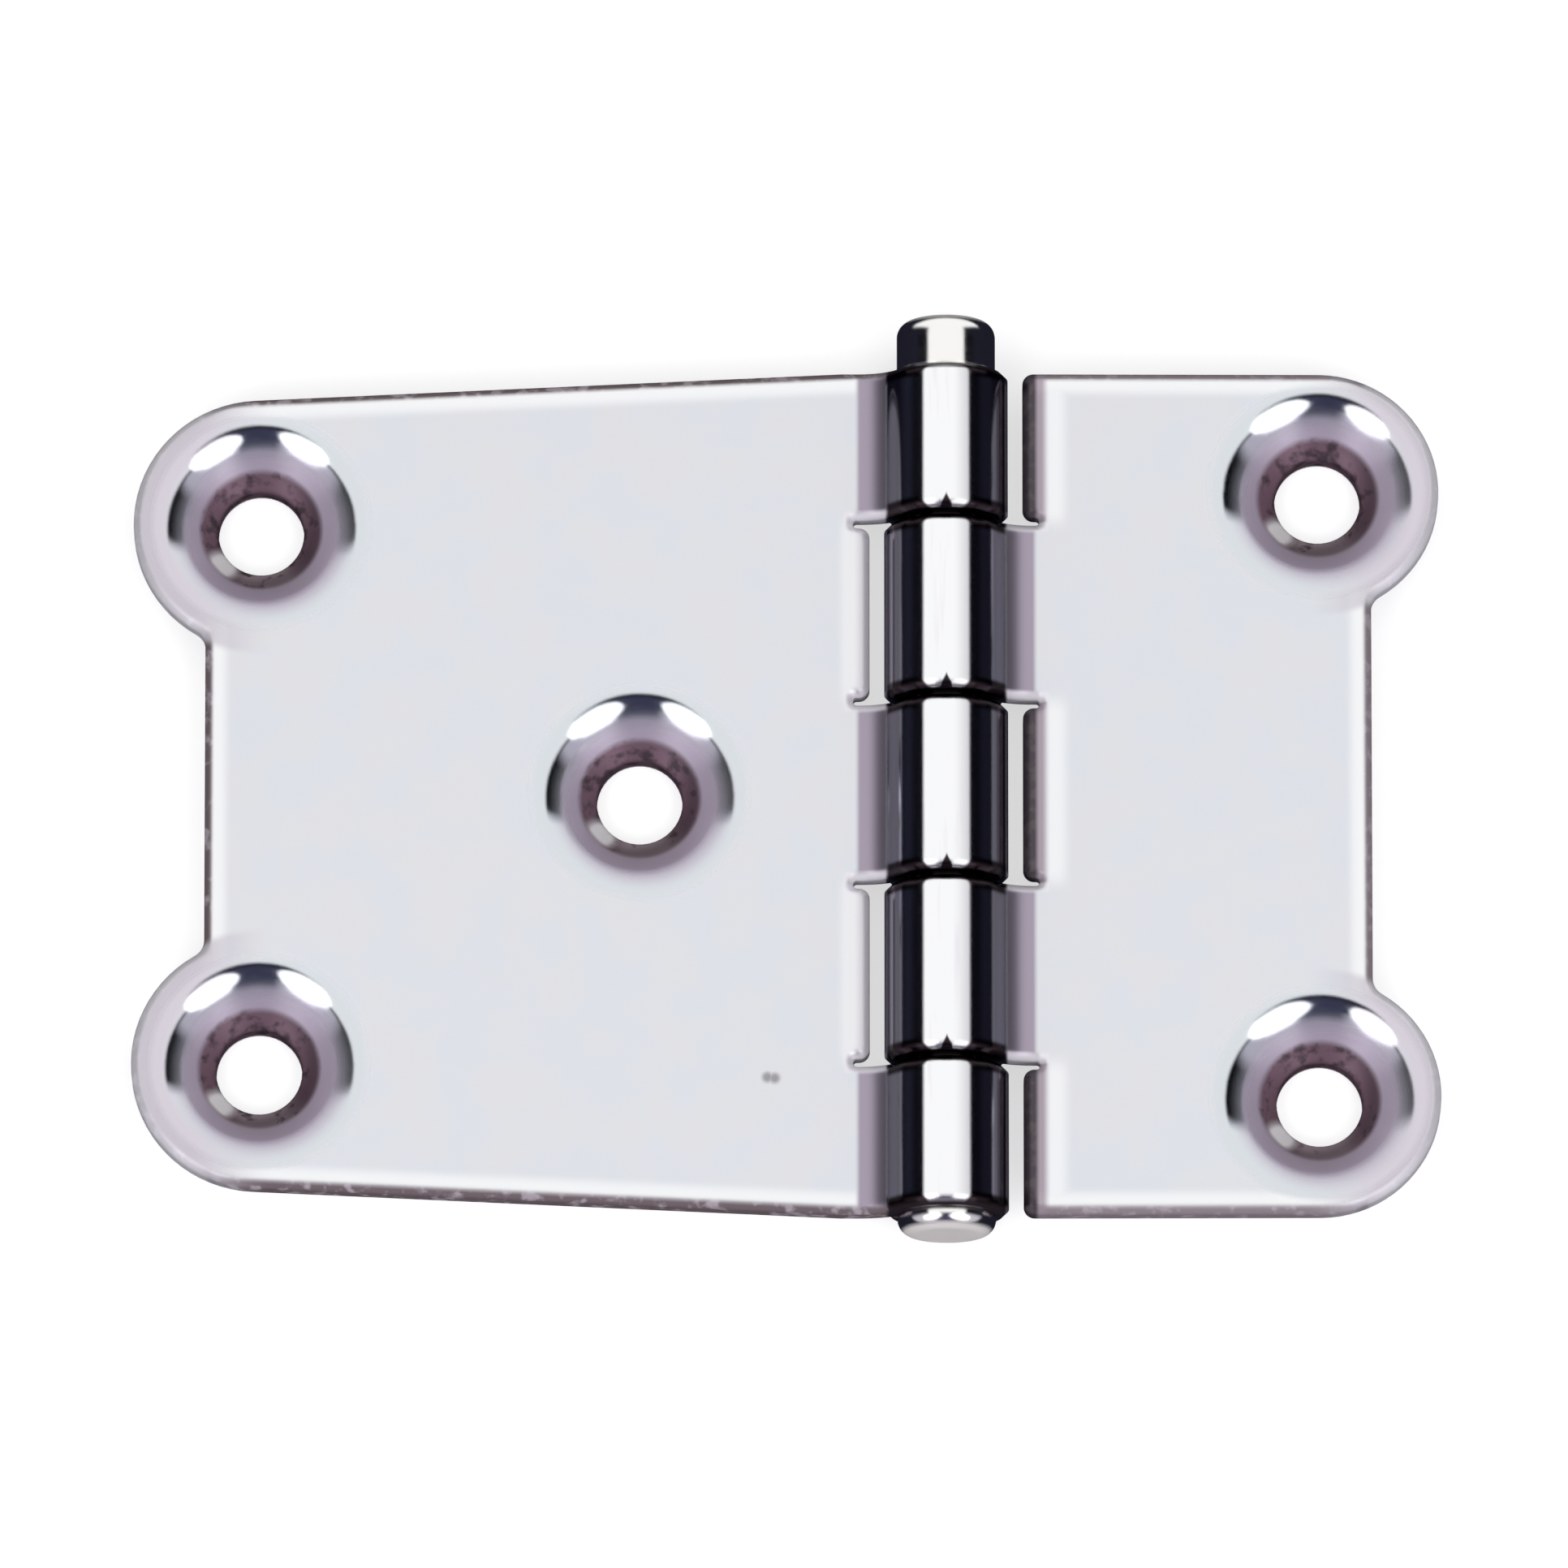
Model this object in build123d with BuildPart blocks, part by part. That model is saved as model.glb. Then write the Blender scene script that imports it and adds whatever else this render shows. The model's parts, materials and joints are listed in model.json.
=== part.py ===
import os
from math import acos, atan2, degrees, hypot, tan

from build123d import *

# Short-side butt hinge: two stamped sheet leaves with rolled knuckles on one headed pin.
# The pin axis is Y, the front of the open hinge faces +Z, and the long leaf lies towards -X.

# Sheet
sheet = 1.4
edge_break = 0.35

# Pin, with a turned head at the top and a riveted one at the bottom
pin_diameter = 3.9
running_clearance = 0.05
head_diameter = 5.4
head_rounding = 0.9
top_head_height = 3.0
bottom_head_height = 1.1

# Barrel
leaf_height = 47.2
outer_knuckle = 8.4
knuckle_gap = 0.3
bend_gap = 1.4
slot_corner = 0.2
slot_land = 0.05
tongue_gap = 0.8
tongue_corner = 0.6
tab_flat = 0.1
seam_gap = 0.25

# Long leaf: edge and centre hole measured from the pin axis, ear holes from the edge
long_edge = 40.6
long_hole_margin = 3.0
long_hole_spacing = 30.3
long_ear_rim = 0.8
centre_hole_x = 16.8

# Short leaf: edge measured from the pin axis, ear holes from the edge
short_edge = 23.3
short_hole_margin = 2.9
short_hole_spacing = 33.9
short_ear_rim = 0.45

# Ears, each a rim of flat sheet round one of the pressed screw dimples
ear_fillet = 1.0
hole_diameter = 4.7
dimple_mouth = 10.1
dimple_depth = 2.7
dimple_wall = 0.8
shoulder_radius = 2.7
boss_chamfer = 0.3

# Points of an outline closer than this count as one
match = 0.01

# Barrel sizes that follow from the ones above
front = sheet / 2
pin_radius = pin_diameter / 2
bore_radius = pin_radius + running_clearance
barrel_radius = bore_radius + sheet
bend_start = barrel_radius + bend_gap
notch_line = bend_start + tab_flat + slot_corner
tongue_line = barrel_radius + tongue_gap
tab_root = 2 * edge_break
strip_line = notch_line + tab_root
inner_knuckle = (leaf_height - 2 * outer_knuckle) / 3
end_length = outer_knuckle - knuckle_gap / 2
mid_length = inner_knuckle - knuckle_gap
end_centre = (leaf_height - end_length) / 2
slot_width = 2 * slot_corner + slot_land
mid_tongue = inner_knuckle + knuckle_gap - 2 * slot_width
end_tongue = outer_knuckle + knuckle_gap / 2 - slot_width
end_tongue_centre = (leaf_height - end_tongue) / 2

# Each knuckle leaves its leaf in a hollow bend that runs smoothly into the barrel, passes over the front
# of the pin and closes below it, with a seam between its end and the back of the bend.
bend_radius = (bend_start**2 - barrel_radius**2 + front**2) / (2 * (barrel_radius - front))
bend_back = bend_radius + sheet
bend_centre = (-bend_start, front + bend_radius)
bend_reach = hypot(*bend_centre)
bend_direction = degrees(atan2(bend_centre[1], bend_centre[0]))
bend_angle = bend_direction - 90
seam_side = barrel_radius**2 + bend_reach**2 - (bend_back + seam_gap) ** 2
seam_angle = degrees(acos(seam_side / (2 * barrel_radius * bend_reach)))
curl_angle = 360 - seam_angle

with BuildSketch(Plane.XZ) as knuckle_section:
    with BuildLine():
        tab_front = Line((-bend_start - tab_root, front), (-bend_start, front))
        CenterArc(bend_centre, bend_radius, -90, bend_angle)
        curl_outside = CenterArc((0, 0), barrel_radius, bend_direction, -curl_angle)
        curl_inside = CenterArc((0, 0), bore_radius, bend_direction - curl_angle, curl_angle)
        Line(curl_outside @ 1, curl_inside @ 0)
        bend_rear = CenterArc(bend_centre, bend_back, bend_direction - 180, -bend_angle)
        tab_back = Line(bend_rear @ 1, (-bend_start - tab_root, -front))
        Line(tab_back @ 1, tab_front @ 0)
    make_face()


def leaf_blank(edge, hole_x, hole_spacing, ear_radius, tabs, tongues):
    """Flat outline: a full-height strip beside the barrel, drawn in to two round ears.

    tabs gives the centre and length of the root of each of the leaf's own knuckles, and tongues the
    centre and length of each stretch that reaches in, between narrow slots, to the other leaf's knuckles.
    """
    with BuildSketch() as blank:
        with Locations((-notch_line, 0)):
            Rectangle(tab_root, leaf_height, align=(Align.MAX, Align.CENTER))
        with Locations((-hole_x, 0)), GridLocations(0, hole_spacing, 1, 2):
            Circle(ear_radius)
        make_hull(blank.edges())
        with Locations((-edge, 0)):
            Rectangle(ear_radius, hole_spacing, align=(Align.MAX, Align.CENTER), mode=Mode.SUBTRACT)
        with Locations((-hole_x, 0)), GridLocations(0, hole_spacing, 1, 2):
            Circle(ear_radius)
        for centre, length in tabs:
            with Locations((-notch_line, centre)):
                Rectangle(notch_line - bend_start, length, align=(Align.MIN, Align.CENTER))
        for centre, length in tongues:
            with Locations((-notch_line, centre)):
                Rectangle(notch_line - tongue_line, length, align=(Align.MIN, Align.CENTER))
    return blank.sketch


# Dimple tools, centred on a screw hole: the metal pushed out behind the sheet, and the cone left in front
# for the screw's head, whose mouth is rounded over into the flat out as far as the dimple's reach
hole_radius = hole_diameter / 2
bowl_slope = atan2(dimple_depth, dimple_mouth / 2 - hole_radius)
dimple_reach = dimple_mouth / 2 + shoulder_radius * tan(bowl_slope / 2)
floor_level = front - dimple_depth
boss_level = floor_level - sheet

with BuildPart() as dimple_boss:
    with BuildSketch(Plane.XZ) as boss_profile:
        with BuildLine():
            Polyline(
                (0, -front),
                (dimple_mouth / 2 + dimple_wall, -front),
                (hole_radius + dimple_wall, boss_level),
                (0, boss_level),
                close=True,
            )
        make_face()
        chamfer(boss_profile.vertices().group_by(Axis.Y)[0].sort_by(Axis.X)[-1], boss_chamfer)
    revolve(axis=Axis.Z)

with BuildPart() as dimple_bowl:
    with BuildSketch(Plane.XZ) as bowl_profile:
        with BuildLine():
            Polyline(
                (0, front),
                (dimple_mouth / 2, front),
                (hole_radius, floor_level),
                (hole_radius, boss_level),
                (0, boss_level),
                close=True,
            )
        make_face()
    revolve(axis=Axis.Z)


def upright_edges(leaf, *lines):
    """The edges through the sheet that stand at one of these distances from the pin axis."""
    return leaf.edges().filter_by(Axis.Z).filter_by(
        lambda e: any(abs(e.center().X + line) < match for line in lines)
    )


def outside_of_bend(arc):
    """Whether an arc follows the outside of a knuckle or of the bend leading into it."""
    return min(abs(arc.radius - bend_radius), abs(arc.radius - barrel_radius)) < match


def stamped_leaf(outline, edge, holes, tabs):
    """One leaf: the flat and its rolled knuckles, with the front edge broken, then dimpled."""
    with BuildPart() as leaf:
        extrude(outline, amount=front, both=True)
        fillet(upright_edges(leaf, edge, strip_line), ear_fillet)
        fillet(upright_edges(leaf, notch_line), slot_corner)
        fillet(upright_edges(leaf, tongue_line), tongue_corner)
        for centre, length in tabs:
            extrude(knuckle_section.sketch.moved(Location((0, centre, 0))), amount=length / 2, both=True)
        flat = leaf.faces().filter_by(Axis.Z).sort_by(Axis.Z)[-1]
        rim = flat.edges().filter_by(lambda e: abs(e.center().X + bend_start) > match)
        arcs = leaf.edges().filter_by(GeomType.CIRCLE).filter_by(Plane.XZ)
        chamfer(rim + arcs.filter_by(outside_of_bend), edge_break)
        with Locations(*holes):
            add(dimple_boss.part)
            add(dimple_bowl.part, mode=Mode.SUBTRACT)
        fillet(leaf.edges(Select.LAST).group_by(Axis.Z)[-1], shoulder_radius)
    return leaf.part


# Long leaf, with the first, third and fifth knuckles
long_hole_x = long_edge - long_hole_margin
long_ear_radius = dimple_reach + long_ear_rim
long_tabs = [(end_centre, end_length), (0, mid_length), (-end_centre, end_length)]
long_tongues = [(inner_knuckle, mid_tongue), (-inner_knuckle, mid_tongue)]
long_holes = [
    (-centre_hole_x, 0),
    (-long_hole_x, long_hole_spacing / 2),
    (-long_hole_x, -long_hole_spacing / 2),
]
long_outline = leaf_blank(
    long_edge, long_hole_x, long_hole_spacing, long_ear_radius, long_tabs, long_tongues
)

with BuildPart() as long_leaf:
    add(stamped_leaf(long_outline, long_edge, long_holes, long_tabs))

# Short leaf, with the second and fourth knuckles, stamped like the long one and turned to face it
short_hole_x = short_edge - short_hole_margin
short_ear_radius = dimple_reach + short_ear_rim
short_tabs = [(inner_knuckle, mid_length), (-inner_knuckle, mid_length)]
short_tongues = [(end_tongue_centre, end_tongue), (0, mid_tongue), (-end_tongue_centre, end_tongue)]
short_holes = [
    (-short_hole_x, short_hole_spacing / 2),
    (-short_hole_x, -short_hole_spacing / 2),
]
short_outline = leaf_blank(
    short_edge, short_hole_x, short_hole_spacing, short_ear_radius, short_tabs, short_tongues
)

with BuildPart() as short_leaf:
    add(stamped_leaf(short_outline, short_edge, short_holes, short_tabs))
    mirror(about=Plane.YZ, mode=Mode.REPLACE)

# Pin, headed at both ends against the outer knuckles
barrel_end = leaf_height / 2
head_radius = head_diameter / 2

with BuildPart() as pin:
    with BuildSketch() as pin_profile:
        with BuildLine():
            Polyline(
                (0, barrel_end + top_head_height),
                (head_radius, barrel_end + top_head_height),
                (head_radius, barrel_end),
                (pin_radius, barrel_end),
                (pin_radius, -barrel_end),
                (head_radius, -barrel_end),
                (head_radius, -barrel_end - bottom_head_height),
                (0, -barrel_end - bottom_head_height),
                close=True,
            )
        make_face()
        levels = pin_profile.vertices().group_by(Axis.Y)
        fillet([level.sort_by(Axis.X)[-1] for level in (levels[0], levels[-1])], head_rounding)
    revolve(axis=Axis.Y)

os.makedirs("parts", exist_ok=True)
long_leaf.part.label = "long_leaf"
short_leaf.part.label = "short_leaf"
pin.part.label = "pin"
export_step(long_leaf.part, "parts/long_leaf.step")
export_step(short_leaf.part, "parts/short_leaf.step")
export_step(pin.part, "parts/pin.step")
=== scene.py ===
import json
from functools import reduce
from math import asin, atan2, cos, hypot, pi, radians, sin

import bmesh
import bpy
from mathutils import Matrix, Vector


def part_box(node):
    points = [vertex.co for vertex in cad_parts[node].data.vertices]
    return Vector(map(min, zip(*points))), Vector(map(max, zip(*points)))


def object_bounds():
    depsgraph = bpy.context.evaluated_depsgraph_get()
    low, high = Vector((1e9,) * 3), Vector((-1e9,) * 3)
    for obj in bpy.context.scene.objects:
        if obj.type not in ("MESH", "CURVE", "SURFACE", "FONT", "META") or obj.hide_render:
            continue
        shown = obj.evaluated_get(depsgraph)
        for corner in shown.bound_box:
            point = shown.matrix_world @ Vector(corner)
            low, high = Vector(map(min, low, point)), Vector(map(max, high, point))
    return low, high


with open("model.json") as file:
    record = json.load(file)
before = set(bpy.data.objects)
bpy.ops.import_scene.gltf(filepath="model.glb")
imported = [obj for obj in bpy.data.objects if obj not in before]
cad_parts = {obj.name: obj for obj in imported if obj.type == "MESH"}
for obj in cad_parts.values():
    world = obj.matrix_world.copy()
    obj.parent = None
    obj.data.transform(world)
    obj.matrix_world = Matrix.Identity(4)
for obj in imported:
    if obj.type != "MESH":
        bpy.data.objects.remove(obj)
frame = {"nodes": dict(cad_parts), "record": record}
cad_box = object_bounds()

# Long leaf: bright plated steel sheet, blanked to a tapered outline with two round ears and pressed
# with three screw dimples. Its flat keeps a soft pale grey, while the barrel and the dimples, where
# the tools drew the sheet tight, are polished like a mirror.


class Socket:
    """A shader socket whose operators add Math nodes to its material."""

    def __init__(self, tree, source=None):
        self.tree = tree
        self.source = source

    def node(self, kind, settings, inputs, output=0):
        """Adds a node with these settings, fills its sockets with values or links, gives one output."""
        made = self.tree.nodes.new("ShaderNode" + kind)
        for name, value in settings.items():
            setattr(made, name, value)
        for name, value in inputs.items():
            if isinstance(value, Socket):
                self.tree.links.new(value.source, made.inputs[name])
            else:
                made.inputs[name].default_value = value
        return Socket(self.tree, made.outputs[output]) if made.outputs else None

    def other(self, output):
        """Another output of the node that this socket comes from."""
        return Socket(self.tree, self.source.node.outputs[output])

    def math(self, operation, first, second=0.0):
        return self.node("Math", {"operation": operation}, {0: first, 1: second})

    def __add__(self, other):
        return self.math("ADD", self, other)

    __radd__ = __add__

    def __sub__(self, other):
        return self.math("SUBTRACT", self, other)

    def __rsub__(self, other):
        return self.math("SUBTRACT", other, self)

    def __mul__(self, other):
        return self.math("MULTIPLY", self, other)

    __rmul__ = __mul__

    def __abs__(self):
        return self.math("ABSOLUTE", self)

    def least(self, other):
        return self.math("MINIMUM", self, other)

    def most(self, other):
        return self.math("MAXIMUM", self, other)

    def rise(self, low, high, start=0.0, end=1.0):
        """start below low, end above high and smooth between them."""
        span = {"Value": self, "From Min": low, "From Max": high, "To Min": start, "To Max": end}
        return self.node("MapRange", {"interpolation_type": "SMOOTHSTEP"}, span)

    def fall(self, low, high):
        """1 below low, 0 above high and smooth between them."""
        return self.rise(low, high, 1.0, 0.0)

    def mixed(self, low, high):
        """The colour low where this is 0 and high where it is 1."""
        return self.node("Mix", {"data_type": "RGBA"}, {"Factor": self, 6: low, 7: high}, 2)


def empty_material(name):
    """A node material with nothing in it, and a socket to start its nodes from."""
    material = bpy.data.materials.new(name)
    material.use_nodes = True
    material.node_tree.nodes.clear()
    return material, Socket(material.node_tree)


mm = 0.001
mounts = {mount["name"]: mount for mount in frame["record"]["mounts"]}

# Lines and spots on the sheet, in millimetres from the pin's axis, its ends or the middle of a hole
taper_start = 5.8
end_knuckle = 8.4
knuckle_gap = 0.3
barrel_radius = 3.4
bend_start = 4.8
tongue_line = 4.2
slot_end = 5.4
dimple_reach = 6.2
bowl_rim = 5.3
bowl_shift = (0.2, -0.35)
seat_radius = 3.3
seat_depth = -2.0
seat_shade_shift = (-0.5, 0.45)
low_seat_shift = (0.3, -2.9)
glint_shift = (-2.1, -1.9)
notch_shine_line = tongue_line + 0.8
inner_knuckles = 3

# The sheet's edges are shaded as if they were rounded by this much
edge_round = 0.4
round_samples = 6

# The dark line at each knuckle joint, which widens away from the crown as painted shade, and the small dark
# painted reflection above it
joint_spare = 0.05
joint_flare = 0.5
mark_half = 0.5
mark_taper = 0.5

# The two distances, in millimetres, between which each finish or painted light or shade fades into its
# neighbour
barrel_fade = (barrel_radius - 0.25, barrel_radius)
flank_shade_fade = (2.1, 2.7)
shaded_side_fade = (0.3, 1.5)
bend_fade = (bend_start - 0.1, bend_start + 0.25)
dimple_fade = (dimple_reach - 0.6, dimple_reach)
bowl_fade = (bowl_rim - 1.5, bowl_rim)
seat_fade = (seat_radius - 0.2, seat_radius + 0.2)
low_seat_fade = (1.0, 2.8)
seat_shade_fade = (2.7, 3.5)
glint_fade = (0.5, 1.2)
glint_depth_fade = (seat_depth - 0.3, seat_depth)
ear_inner_fade = (dimple_reach - 1.6, dimple_reach - 0.8)
ear_outer_fade = (0.1, 0.6)
ear_side_fade = (-1.0, 4.0)
edge_fade = (0.2, 0.55)
highlight_fade = (0.7, 1.5)
slot_side_fade = (0.35, 0.7)
slot_end_fade = (slot_end, slot_end + 0.3)
tongue_edge_fade = (tongue_line + 0.4, tongue_line + 0.8)
notch_line_fade = (tongue_line + 0.6, tongue_line + 0.9)
notch_edge_fade = (tongue_line + 1.0, tongue_line + 1.5)
notch_shine_fade = (0.1, 1.0)
joint_fade = (0.0, 0.3)
joint_end_fade = (barrel_radius - 0.3, barrel_radius)
joint_flare_fade = (0.9, 1.6)
mark_fade = (0.0, 0.15)
mark_foot_fade = (0.0, 0.1)
pit_fade = (0.1, 0.45)

# How far the ends of the knuckles' stretches blur, either way
knuckle_soft = 0.1
shine_soft = 0.7

# Noise: its grain for each millimetre, its detail, and the levels between which its flecks come up
mottle_grain = 0.35
mottle_detail = 3.0
bead_grain = 1.3
streak_grain = (1.6, 0.14, 1.6)
fine_detail = 2.0
mottle_levels = (0.35, 0.65)
edge_shade_levels = (0.3, 0.5)
speck_levels = (0.46, 0.7)
brown_levels = (0.45, 0.65)
streak_levels = (0.55, 0.8)

# How strongly a finish or a painted light or shade shows, from 0 to 1
shaded_side = 0.5
low_seat_strength = 0.75
seat_shade_strength = 0.6
speck_strength = 0.9
notch_shine = 0.8
ear_cover = 0.8
pit_strength = 0.6

flat_colour = (0.84, 0.87, 0.92, 1)
mottle_colour = (0.87, 0.875, 0.90, 1)
ear_shade_colour = (0.68, 0.635, 0.705, 1)
shoulder_colour = (0.70, 0.735, 0.775, 1)
barrel_colour = (0.94, 0.945, 0.96, 1)
streak_colour = (0.86, 0.84, 0.89, 1)
flank_shade_colour = (0.30, 0.28, 0.34, 1)
highlight_colour = (0.92, 0.925, 0.94, 1)
rim_shade_colour = (0.56, 0.49, 0.54, 1)
slot_light_colour = (0.97, 0.94, 0.99, 1)
ear_rim_light_colour = (0.93, 0.91, 0.96, 1)
bowl_colour = (0.62, 0.55, 0.66, 1)
bend_shade_colour = (0.40, 0.35, 0.43, 1)
edge_shade_colour = (0.19, 0.14, 0.15, 1)
seat_colour = (0.25, 0.155, 0.20, 1)
low_seat_light_colour = (0.62, 0.52, 0.55, 1)
shade_and_fleck_colour = (0.07, 0.05, 0.06, 1)
glint_colour = (0.97, 0.95, 0.96, 1)
joint_and_shade_colour = (0.035, 0.025, 0.03, 1)
notch_shade_black = (0.05, 0.04, 0.05, 1)
notch_shade_brown = (0.085, 0.07, 0.075, 1)
notch_shade_mauve = (0.42, 0.35, 0.41, 1)

flat_roughness = 0.28
bend_roughness = 0.40
bowl_roughness = 0.30
edge_roughness = 0.45
polished_roughness = 0.08
flat_dullness = 0.6
bowl_dullness = 0.55
edge_dullness = 0.7
slot_dullness = 0.8


def plated_sheet(
    node, ear_mount, edge_margin, middle_holes, pits, tabs_at_ends, edge_shade, notch_shade
):
    """Plating for one leaf: pale on the flat, mirror bright at the barrel and dimples, dull at its edge,
    with painted light and shade.
    """
    low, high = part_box(node)
    pattern = mounts[ear_mount]
    ear_x = pattern["pos_m"][0] / mm
    ear_y = pattern["dims"]["spacing_y_mm"] / 2
    ear_radius = max(abs(low.x), abs(high.x)) / mm - abs(ear_x)
    half_height = high.y / mm
    material, sheet = empty_material(node + "_plating_and_painted_light")
    place = sheet.node("TexCoord", {}, {}, "Object")
    place = sheet.node("VectorMath", {"operation": "SCALE"}, {0: place, "Scale": 1 / mm})
    flat = sheet.node("VectorMath", {"operation": "MULTIPLY"}, {0: place, 1: (1, 1, 0)})
    x = sheet.node("SeparateXYZ", {}, {"Vector": place})
    y, z = x.other("Y"), x.other("Z")
    out, up = abs(x), abs(y)

    def nearest(spots, shift=(0, 0)):
        """Distance over the sheet to the nearest of some spots, all moved by shift."""
        centres = [(spot[0] + shift[0], spot[1] + shift[1], 0) for spot in spots]
        spans = [
            sheet.node("VectorMath", {"operation": "DISTANCE"}, {0: flat, 1: centre}, "Value")
            for centre in centres
        ]
        return reduce(Socket.least, spans)

    # Distances in from the outline and from the holes, then the rows of the knuckles along the barrel
    ears = [(ear_x, ear_y), (ear_x, -ear_y)]
    holes = ears + middle_holes
    ear = nearest(ears)
    hole = nearest(holes)
    run, drop = abs(ear_x) - taper_start, half_height - ear_y
    slope = asin(ear_radius / hypot(run, drop)) - atan2(drop, run)
    inside_taper = (half_height - up) * cos(slope) + (out - taper_start) * sin(slope)
    inset = inside_taper.least(abs(ear_x) + edge_margin - out).most(ear_radius - ear)
    end_row = half_height - end_knuckle
    inner_row = end_row / inner_knuckles

    def own_knuckles(soft):
        """1 along the leaf's own knuckles and 0 beside the other leaf's, with edges this soft."""
        inner = up.rise(inner_row - soft, inner_row + soft) * up.fall(end_row - soft, end_row + soft)
        return 1 - inner if tabs_at_ends else inner

    # The barrel, with its dark joints, the painted shade and painted reflections at them, and painted shade
    # on its flanks
    barrel = out.fall(*barrel_fade)
    off_barrel = 1 - barrel
    past_joint = sheet.node("Math", {"operation": "WRAP"}, {0: y - inner_row, 1: inner_row, 2: -inner_row})
    joint = abs(past_joint).least(half_height + knuckle_gap / 2 - up)
    # The joint line's widening towards the flanks is painted shade
    joint_width = knuckle_gap / 2 + joint_spare + joint_flare * out.rise(*joint_flare_fade)
    joint_line = out.fall(*joint_end_fade) * (joint - joint_width).fall(*joint_fade)
    # Painted reflection: a small dark wedge on the crown above each joint
    mark = mark_half - mark_taper * (past_joint - knuckle_gap / 2) - out
    mark = mark.rise(*mark_fade) * past_joint.rise(*mark_foot_fade)
    # Painted shade: the barrel's outer flanks, and its crown on the +x side, are painted darker
    flank_shade = out.rise(*flank_shade_fade).most(shaded_side * x.rise(*shaded_side_fade))

    # Beside the barrel: the hollow bends in painted shade, the slots and tongue edges in painted light, and
    # the notches that clear the other leaf's knuckles, with painted shade along their edges
    # Painted shade: the bends are painted a dark violet grey
    bend = own_knuckles(knuckle_soft) * off_barrel * out.fall(*bend_fade)
    notch = (1 - own_knuckles(knuckle_soft)) * off_barrel
    # Painted light: the slot ends, and the long leaf's tongue edges, are painted pale and dull instead of
    # the dark they would mirror
    lit_slot = abs(past_joint).fall(*slot_side_fade) * off_barrel * out.fall(*slot_end_fade)
    lit_slot = lit_slot.most(notch * out.fall(*tongue_edge_fade) * (1 - notch_shade))
    # Painted shade: a dark line with brownish flecks along each notch edge, then a mauve band, strong on
    # the short leaf and faint on the long one
    notch_line = notch * out.fall(*notch_line_fade) * notch_shade
    notch_edge = notch * out.fall(*notch_edge_fade) * notch_shade
    from_shine = abs(out - (notch_shine_line + notch_shade))
    shine = notch_shine * (1 - own_knuckles(shine_soft)) * off_barrel * from_shine.fall(*notch_shine_fade)

    # The flat's grain and its outline: painted shade along the cut edge in beaded flecks, painted paler
    # round the ears, and a painted highlight just inside the edge and beside the notches
    mottle = sheet.node(
        "TexNoise", {}, {"Vector": place, "Scale": mottle_grain, "Detail": mottle_detail}
    )
    beads = sheet.node("TexNoise", {}, {"Vector": place, "Scale": bead_grain, "Detail": fine_detail})
    lengthways = sheet.node("VectorMath", {"operation": "MULTIPLY"}, {0: place, 1: streak_grain})
    streaks = sheet.node("TexNoise", {}, {"Vector": lengthways, "Scale": 1.0, "Detail": fine_detail})
    # Painted shade: the outer part of each ear, round the dimple, is painted a lavender grey
    ear_rim = (ear - ear_radius).fall(*ear_outer_fade) * (out - abs(ear_x)).rise(*ear_side_fade)
    ear_rim = ear_rim * ear.rise(*ear_inner_fade)
    edge = inset.fall(*edge_fade)
    # Painted shade: beaded dark flecks along the cut edge, fewer round the ears
    edge_line = beads.rise(*edge_shade_levels) * edge_shade * (1 - ear_cover * ear_rim)
    highlight = inset.fall(*highlight_fade).most(shine)

    # The dimples: a polished shoulder, a duller bowl, and a seat with dark flecks, a painted shade
    # crescent, a paler painted lower side and one painted glint
    dimple = hole.fall(*dimple_fade)
    bowl = nearest(holes, bowl_shift).fall(*bowl_fade)
    seat = hole.fall(*seat_fade)
    # Painted light: the lower side of each seat is painted paler
    low_seat = low_seat_strength * nearest(holes, low_seat_shift).fall(*low_seat_fade)
    # Painted shade: a dark crescent on the lower right of each seat, together with dark flecks
    shade_crescent = nearest(holes, seat_shade_shift).rise(*seat_shade_fade) * seat_shade_strength
    seat_shade_and_flecks = seat * shade_crescent.most(beads.rise(*speck_levels) * speck_strength)
    # Painted highlight: a bright glint on each seat's lower left, on the front only
    glint = seat * z.rise(*glint_depth_fade) * nearest(holes, glint_shift).fall(*glint_fade)

    colour = mottle.rise(*mottle_levels).mixed(flat_colour, mottle_colour)
    colour = highlight.mixed(colour, highlight_colour)
    colour = dimple.mixed(colour, shoulder_colour)
    colour = ear_rim.mixed(colour, ear_shade_colour)
    rolled = streaks.rise(*streak_levels).mixed(barrel_colour, streak_colour)
    colour = barrel.mixed(colour, flank_shade.mixed(rolled, flank_shade_colour))
    colour = bowl.mixed(colour, bowl_colour)
    colour = seat.mixed(colour, low_seat.mixed(seat_colour, low_seat_light_colour))
    colour = seat_shade_and_flecks.mixed(colour, shade_and_fleck_colour)
    colour = glint.mixed(colour, glint_colour)
    colour = bend.mixed(colour, bend_shade_colour)
    # The cut edge is painted a darker mauve as shade, and paler as painted light round the ears
    cut_edge = edge_line.mixed(ear_rim.mixed(rim_shade_colour, ear_rim_light_colour), edge_shade_colour)
    colour = edge.mixed(colour, cut_edge)
    colour = lit_slot.mixed(colour, slot_light_colour)
    colour = notch_edge.mixed(colour, notch_shade_mauve)
    colour = notch_line.mixed(colour, beads.rise(*brown_levels).mixed(notch_shade_black, notch_shade_brown))
    colour = joint_line.most(mark).mixed(colour, joint_and_shade_colour)
    if pits:
        pit = pit_strength * nearest(pits).fall(*pit_fade)
        colour = pit.mixed(colour, shade_and_fleck_colour)

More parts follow.
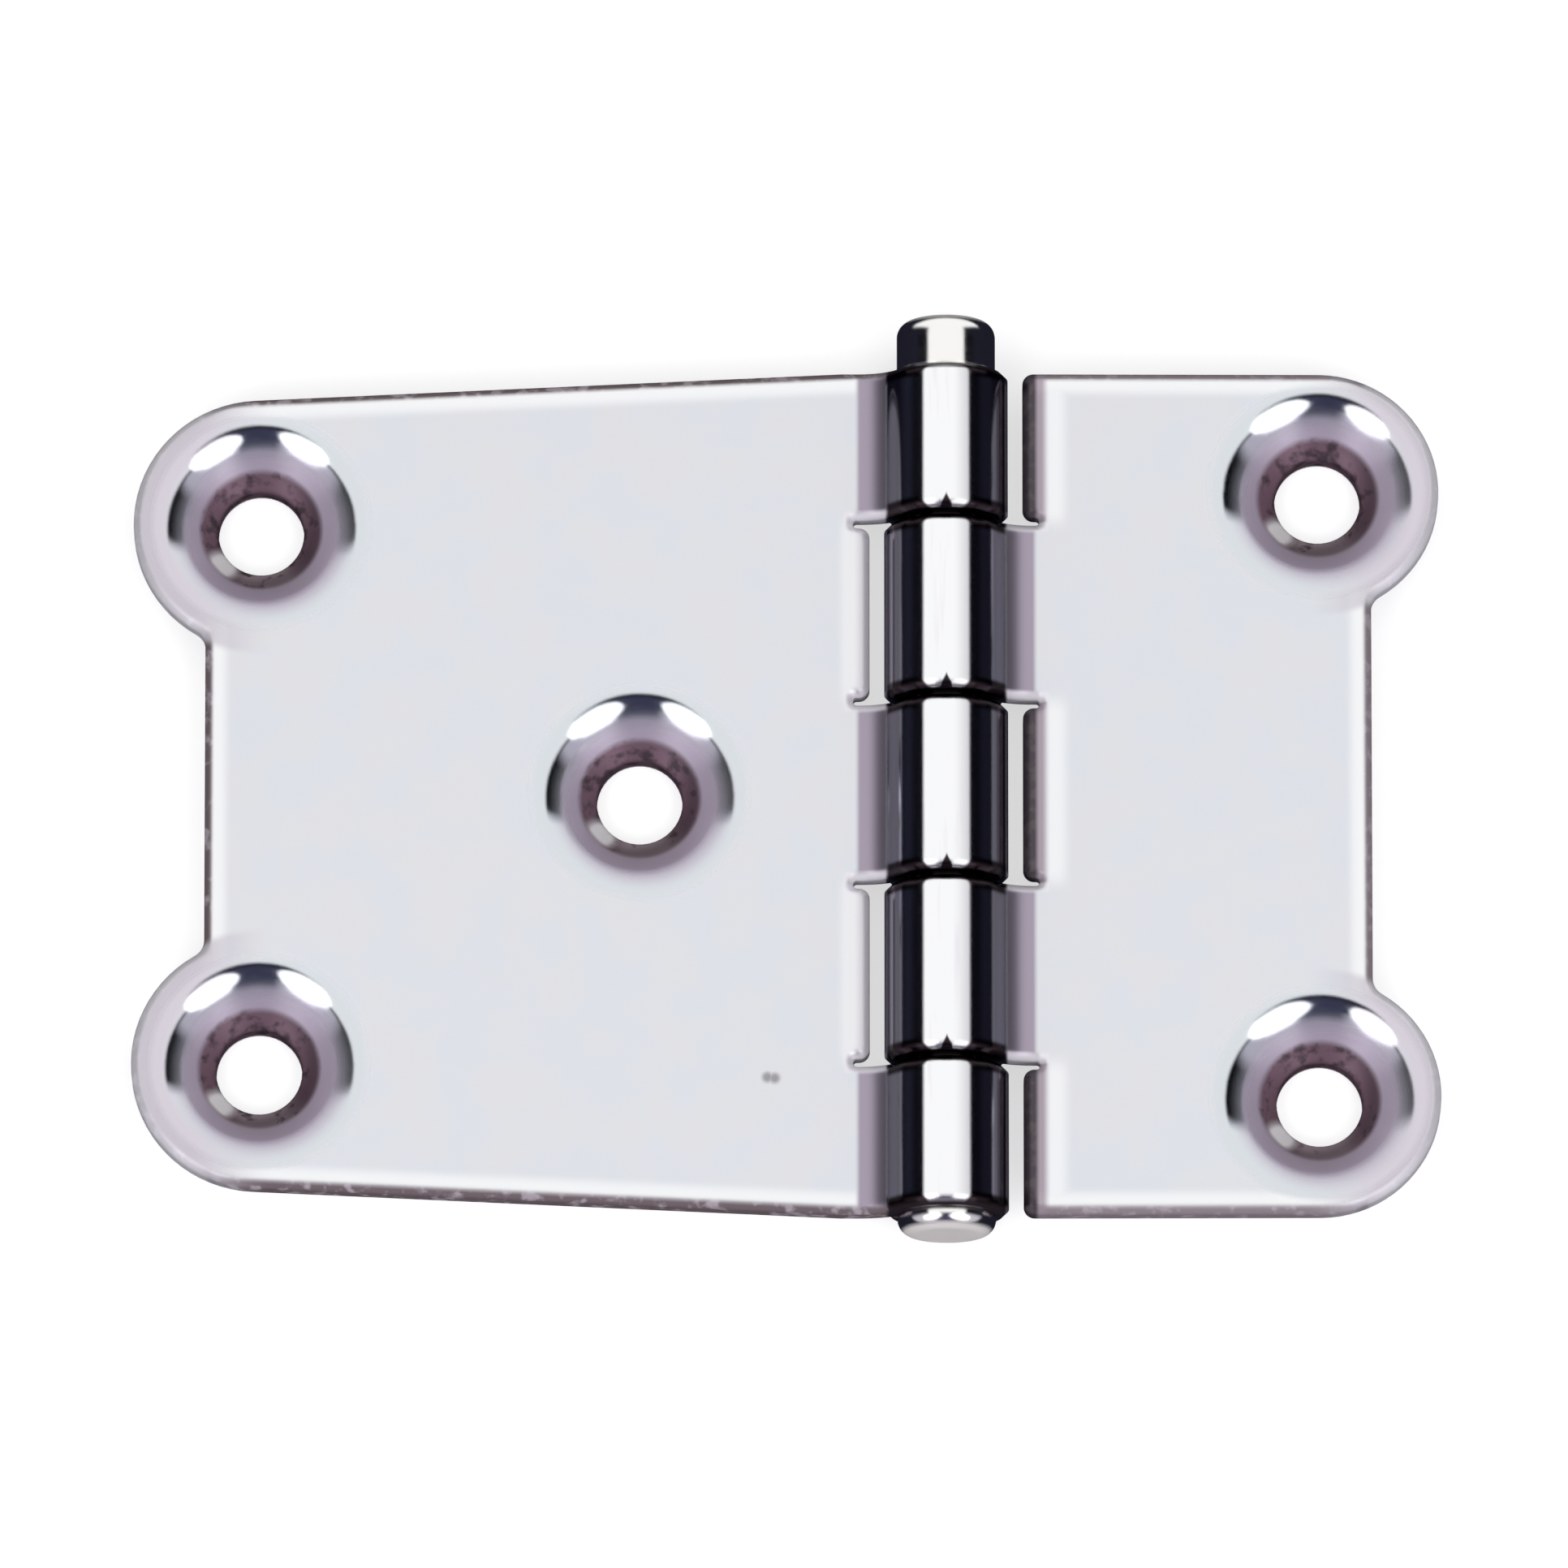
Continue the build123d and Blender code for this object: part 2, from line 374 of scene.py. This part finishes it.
    dull = flat_dullness * (1 - barrel.most(dimple).most(bend).most(highlight * (1 - ear_rim)))
    dull = dull.most(bowl * bowl_dullness).most(edge * edge_dullness).most(lit_slot * slot_dullness)
    dull = dull.most(glint).most(seat * low_seat)
    roughness = flat_roughness + bend * (bend_roughness - flat_roughness)
    roughness = roughness + dimple.most(barrel) * (polished_roughness - flat_roughness)
    roughness = roughness + bowl * (bowl_roughness - polished_roughness)
    roughness = roughness + edge * (edge_roughness - flat_roughness)
    surface = {
        "Base Color": colour,
        "Metallic": 1 - dull,
        "Roughness": roughness,
        "Normal": sheet.node("Bevel", {"samples": round_samples}, {"Radius": edge_round * mm}),
    }
    shader = sheet.node("BsdfPrincipled", {}, surface)
    sheet.node("OutputMaterial", {}, {"Surface": shader})
    frame["nodes"][node].data.materials.clear()
    frame["nodes"][node].data.materials.append(material)


centre_hole = (mounts["centre_screw"]["pos_m"][0] / mm, 0)
small_pit = [(-9.8, -16.0), (-9.4, -16.05)]
plated_sheet(
    "long_leaf",
    "long_leaf_screws",
    edge_margin=3.0,
    middle_holes=[centre_hole],
    pits=small_pit,
    tabs_at_ends=True,
    edge_shade=0.9,
    notch_shade=0.1,
)

# Short leaf: the same plated sheet, with two dimples and the second and fourth knuckles.
# It turns about the pin, so its finish travels with it.
plated_sheet(
    "short_leaf",
    "short_leaf_screws",
    edge_margin=2.9,
    middle_holes=[],
    pits=[],
    tabs_at_ends=False,
    edge_shade=0.5,
    notch_shade=0.95,
)

# Pin: a turned steel rod with a rounded head at each end, plated bright like the leaves.
# Its ends are dull, where the plating has worn off the heads, and its shank is painted dark as the shade
# inside the barrel.
pin_colour = (0.93, 0.92, 0.90, 1)
worn_colour = (0.94, 0.90, 0.87, 1)
shank_shade_colour = (0.03, 0.022, 0.024, 1)
ring_grain = (0.3, 4.0, 0.3)
turned_roughness = 0.06
ring_roughness = 0.12
worn_roughness = 0.2
worn_dullness = 0.9
worn_fade = (0.1, 0.4)
barrel_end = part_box("long_leaf")[1].y / mm
shank_fade = (barrel_end - 0.2, barrel_end)
low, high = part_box("pin")
material, turned = empty_material("pin_plating_and_painted_light")
place = turned.node("TexCoord", {}, {}, "Object")
place = turned.node("VectorMath", {"operation": "SCALE"}, {0: place, "Scale": 1 / mm})
along_pin = turned.node("SeparateXYZ", {}, {"Vector": place}, "Y")
from_end = (high.y / mm - along_pin).least(along_pin - low.y / mm)
rings = turned.node("VectorMath", {"operation": "MULTIPLY"}, {0: place, 1: ring_grain})
rings = turned.node("TexNoise", {}, {"Vector": rings, "Scale": 1.0, "Detail": fine_detail})
worn = from_end.fall(*worn_fade)
# Painted shade: the shank inside the barrel is painted nearly black
shank = abs(along_pin).fall(*shank_fade)
surface = {
    "Base Color": shank.mixed(worn.mixed(pin_colour, worn_colour), shank_shade_colour),
    "Metallic": 1 - worn * worn_dullness,
    "Roughness": turned_roughness + ring_roughness * rings + worn_roughness * worn,
    "Normal": turned.node("Bevel", {"samples": round_samples}, {"Radius": edge_round * mm}),
}
turned.node("OutputMaterial", {}, {"Surface": turned.node("BsdfPrincipled", {}, surface)})
frame["nodes"]["pin"].data.materials.clear()
frame["nodes"]["pin"].data.materials.append(material)

# Floor: a plain white sweep that the hinge lies on, which keeps its soft shadow.
# It glows a little to the eye, so that it comes out white.
floor_half = 2.0
floor_shade = 0.62
paper_colour = (0.8, 0.8, 0.8, 1)
white = (1, 1, 1, 1)
low, high = cad_box
shape = bmesh.new()
bmesh.ops.create_grid(shape, x_segments=1, y_segments=1, size=floor_half)
bmesh.ops.translate(shape, vec=(0, 0, low.z), verts=shape.verts)
floor = bpy.data.objects.new("floor", bpy.data.meshes.new("floor"))
shape.to_mesh(floor.data)
shape.free()
bpy.context.scene.collection.objects.link(floor)


def seen_rays(socket):
    """1 for rays that show a surface, straight or in metal or glass, and 0 for rays that light a floor."""
    path = socket.node("LightPath", {}, {}, "Is Camera Ray")
    shown = path.most(path.other("Is Glossy Ray")).most(path.other("Is Transmission Ray"))
    return shown * (1 - path.other("Diffuse Depth").least(1))


material, paper = empty_material("white_sweep")
matt = paper.node("BsdfDiffuse", {}, {"Color": paper_colour})
glow = paper.node("Emission", {}, {"Color": white, "Strength": seen_rays(paper) * floor_shade})
paper.node("OutputMaterial", {}, {"Surface": paper.node("AddShader", {}, {0: matt, 1: glow})})
floor.data.materials.append(material)

# Studio: a soft box overhead lights the paper, and the metal mirrors a white room. Dark cloth hangs at
# the sides and over the front, with two white lamps in front of it at the corners, and between them they
# give the polished metal black flanks and white glints, to which the shade and glints painted on the leaves
# add.
box_height = 0.9
box_side = 1.2
box_radiance = 0.6
lamp_reach = 0.8
lamp_elevation = radians(42)
lamp_height = 0.75
lamp_radiance = 1.6
lamp_turns = {"left_lamp": radians(-44), "right_lamp": radians(38)}
lamp_widths = {"left_lamp": 0.45, "right_lamp": 0.55}


def area_lamp(name, shape, spot, width, height, radiance):
    """A soft lamp of even brightness that faces the hinge."""
    light = bpy.data.lights.new(name, "AREA")
    light.shape = shape
    light.size = width
    light.size_y = height
    light.energy = radiance * pi * width * height * (pi / 4 if shape == "ELLIPSE" else 1)
    lamp = bpy.data.objects.new(name, light)
    lamp.location = spot
    lamp.rotation_euler = (-Vector(spot)).to_track_quat("-Z", "Y").to_euler()
    bpy.context.scene.collection.objects.link(lamp)
    return lamp


soft_box = area_lamp("soft_box", "RECTANGLE", (0, 0, box_height), box_side, box_side, box_radiance)
soft_box.visible_glossy = False
for name, turn in lamp_turns.items():
    level = lamp_reach * cos(lamp_elevation)
    spot = (level * sin(turn), -level * cos(turn), lamp_reach * sin(lamp_elevation))
    area_lamp(name, "ELLIPSE", spot, lamp_widths[name], lamp_height, lamp_radiance)

# The cloth hangs as a round skirt, open behind the hinge, with a flat hood over the front. Its fades are
# shares of its reach: black high up and navy low down at the sides, paler in front and at its ends.
cloth_reach = 0.95
cloth_opening = radians(110)
cloth_steps = 90
hood_edge = -0.22
hood_half = 0.42
cloth_black = (0.004, 0.004, 0.007, 1)
cloth_navy = (0.012, 0.012, 0.022, 1)
cloth_blue = (0.050, 0.050, 0.090, 1)
cloth_violet = (0.30, 0.26, 0.34, 1)
cloth_lavender = (0.55, 0.52, 0.59, 1)
cloth_pale = (0.80, 0.80, 0.84, 1)
dark_height = (0.25, 0.6)
lavender_front = (0.10, 0.35)
lavender_top = (0.8, 0.9)
middle_width = (0.25, 0.45)
middle_front = (0.2, 0.5)
pale_back = (0.44, 0.57)
material, cloth = empty_material("dark_cloth")
hang = cloth.node("SeparateXYZ", {}, {"Vector": cloth.node("TexCoord", {}, {}, "Object")})
aside = abs(hang) * (1 / cloth_reach)
hang_height = hang.other("Z") * (1 / cloth_reach)
forward = hang.other("Y") * (-1 / cloth_reach)
high_up = hang_height.rise(*dark_height)
in_front = forward.rise(*lavender_front) * hang_height.fall(*lavender_top)
in_middle = aside.fall(*middle_width) * forward.rise(*middle_front)
shade = in_front.mixed(high_up.mixed(cloth_navy, cloth_black), cloth_lavender)
shade = in_middle.mixed(shade, high_up.mixed(cloth_violet, cloth_blue))
shade = (-1 * forward).rise(*pale_back).mixed(shade, cloth_pale)
glow = cloth.node("Emission", {}, {"Color": shade, "Strength": 1.0})
cloth.node("OutputMaterial", {}, {"Surface": glow})

shape = bmesh.new()
half_opening = cloth_opening / 2
foot = shape.verts.new((cloth_reach * sin(half_opening), cloth_reach * cos(half_opening), low.z))
top = shape.verts.new(foot.co + Vector((0, 0, cloth_reach)))
hem = shape.edges.new((foot, top))
bmesh.ops.spin(
    shape,
    geom=[hem, foot, top],
    cent=(0, 0, 0),
    axis=(0, 0, -1),
    angle=2 * pi - cloth_opening,
    steps=cloth_steps,
)
front_corners = ((-hood_half, -cloth_reach), (hood_half, -cloth_reach))
back_corners = ((hood_half, hood_edge), (-hood_half, hood_edge))
shape.faces.new([shape.verts.new((*corner, cloth_reach)) for corner in front_corners + back_corners])
skirt = bpy.data.objects.new("dark_cloth", bpy.data.meshes.new("dark_cloth"))
shape.to_mesh(skirt.data)
shape.free()
skirt.data.materials.append(material)
skirt.visible_camera = False
bpy.context.scene.collection.objects.link(skirt)

# A mat of the same cloth lies round the hinge, seen only in the metal.
mat_lift = 0.0002
mat_sides = 64
shape = bmesh.new()
bmesh.ops.create_circle(shape, cap_ends=True, segments=mat_sides, radius=cloth_reach)
bmesh.ops.translate(shape, vec=(0, 0, low.z + mat_lift), verts=shape.verts)
mat = bpy.data.objects.new("dark_mat", bpy.data.meshes.new("dark_mat"))
shape.to_mesh(mat.data)
shape.free()
mat.data.materials.append(material)
mat.visible_camera = False
mat.visible_diffuse = False
mat.visible_shadow = False
bpy.context.scene.collection.objects.link(mat)

room_light = 0.3
world = bpy.data.worlds.new("room")
world.use_nodes = True
world.node_tree.nodes.clear()
room = Socket(world.node_tree)
brightness = room_light + (1 - room_light) * seen_rays(room)
air = room.node("Background", {}, {"Color": white, "Strength": brightness})
room.node("OutputWorld", {}, {"Surface": air})
bpy.context.scene.world = world
bpy.context.scene.view_settings.view_transform = "Standard"

# Camera: far above the hinge and a little towards its lower end, with the barrel upright in the picture.
# The middle of the barrel falls on hinge_pixel, in a square picture of picture_side pixels.
picture_side = 1932
pixels_per_mm = 22.5
hinge_pixel = (1166, 979)
elevation = radians(77)
distance = 1.6
view_width = picture_side / pixels_per_mm * mm
across = (picture_side / 2 - hinge_pixel[0]) / pixels_per_mm * mm
along = (hinge_pixel[1] - picture_side / 2) / pixels_per_mm * mm / sin(elevation)
target = Vector((across, along, 0))
back = Vector((0, -cos(elevation), sin(elevation)))
lens = bpy.data.cameras.new("camera")
lens.sensor_width = 36
lens.lens = lens.sensor_width * distance / view_width
lens.clip_start = 0.01
lens.clip_end = 10
camera = bpy.data.objects.new("camera", lens)
camera.location = target + back * distance
camera.rotation_euler = (-back).to_track_quat("-Z", "Y").to_euler()
bpy.context.scene.collection.objects.link(camera)
bpy.context.scene.camera = camera
